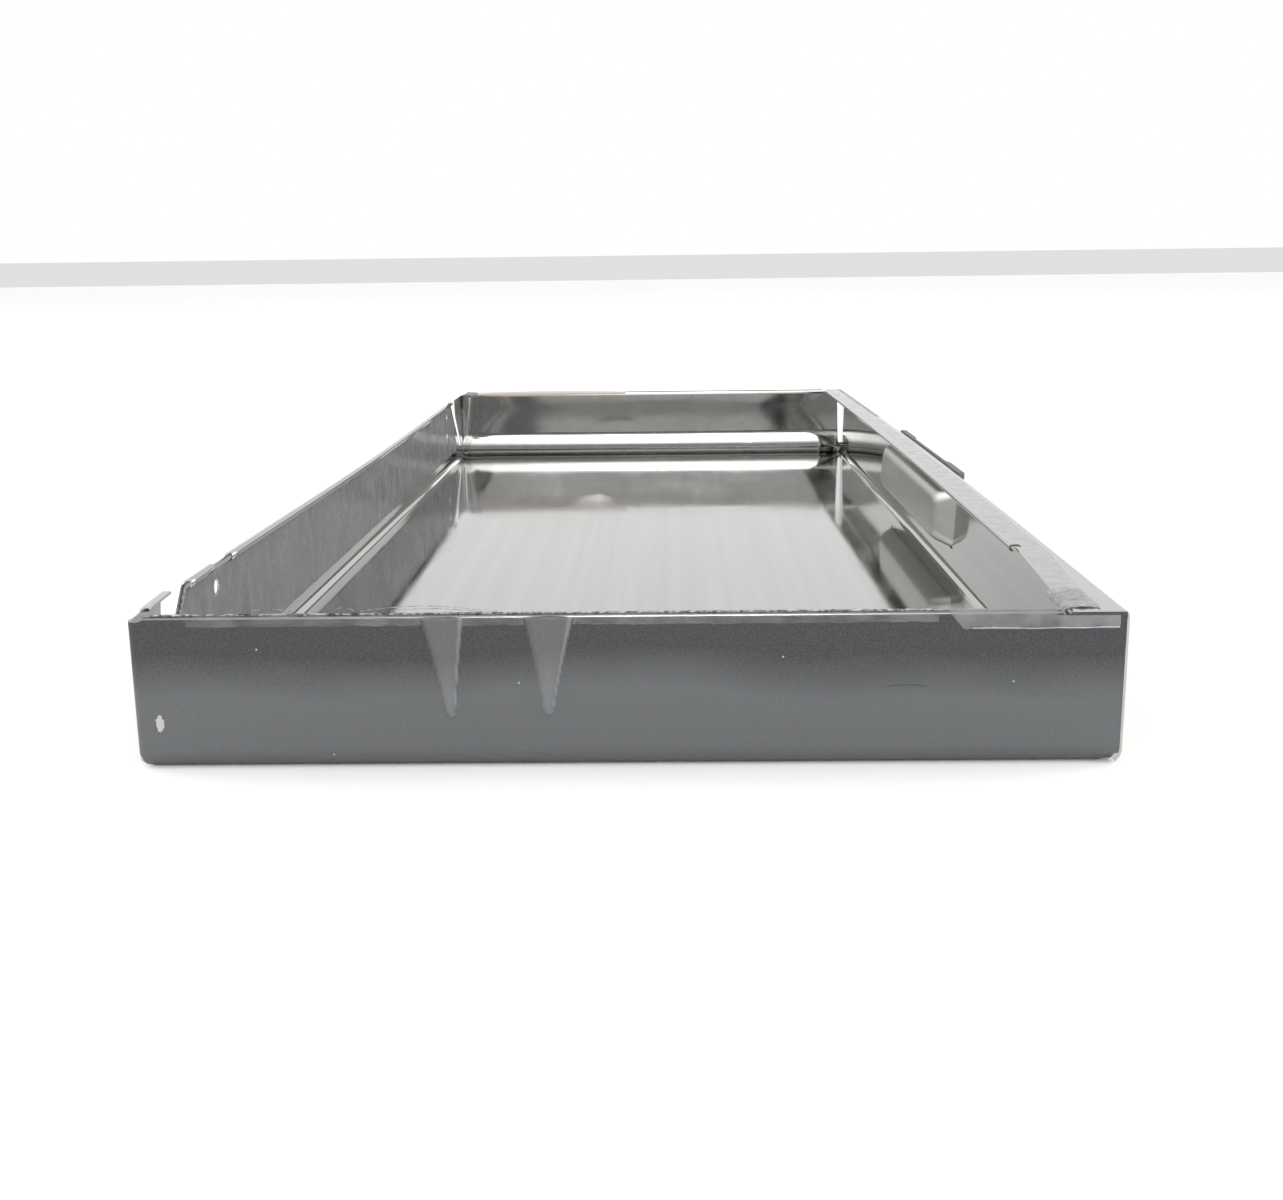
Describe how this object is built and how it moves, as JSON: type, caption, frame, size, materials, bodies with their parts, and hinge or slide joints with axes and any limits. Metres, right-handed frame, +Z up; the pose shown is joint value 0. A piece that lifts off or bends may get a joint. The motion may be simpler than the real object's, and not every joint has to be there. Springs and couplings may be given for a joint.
{
  "type": "paint roller tray",
  "caption": "Long shallow open sheet-metal tray with rolled rims, slotted corners, a flanged side fascia with a pull pocket, and leftover protective film.",
  "frame": {"origin": "centre of the tray's footprint (fascia's outside face to left wall) on the underside of the floor", "axes": "+X across the tray towards the flanged fascia, +Y along its length away from the front wall, +Z up"},
  "size_m": [0.3059, 0.7523, 0.0494],
  "materials": {
    "bright_steel": "bright cold-rolled sheet, near mirror, faint rolling lines",
    "dark_plastic": "moulded, fine matt texture",
    "matt_film": "grey milky protective film, matt",
    "clear_film": "thin clear protective film, wrinkled",
    "paper_tape": "thin beige masking tape, matt",
    "blue_film": "thin blue-tinted protective film"
  },
  "bodies": {
    "root": {"tray_pan": "bright_steel", "side_fascia": "bright_steel", "pull_cup": "bright_steel", "pull_lip": "dark_plastic", "front_wall_film": "matt_film", "left_wall_film": "clear_film", "front_rim_film": "clear_film", "front_rim_tape": "clear_film", "flange_film": "clear_film", "flange_end_film": "clear_film", "back_rim_tape": "paper_tape", "blue_film_scraps": "blue_film"}
  },
  "joints": []
}
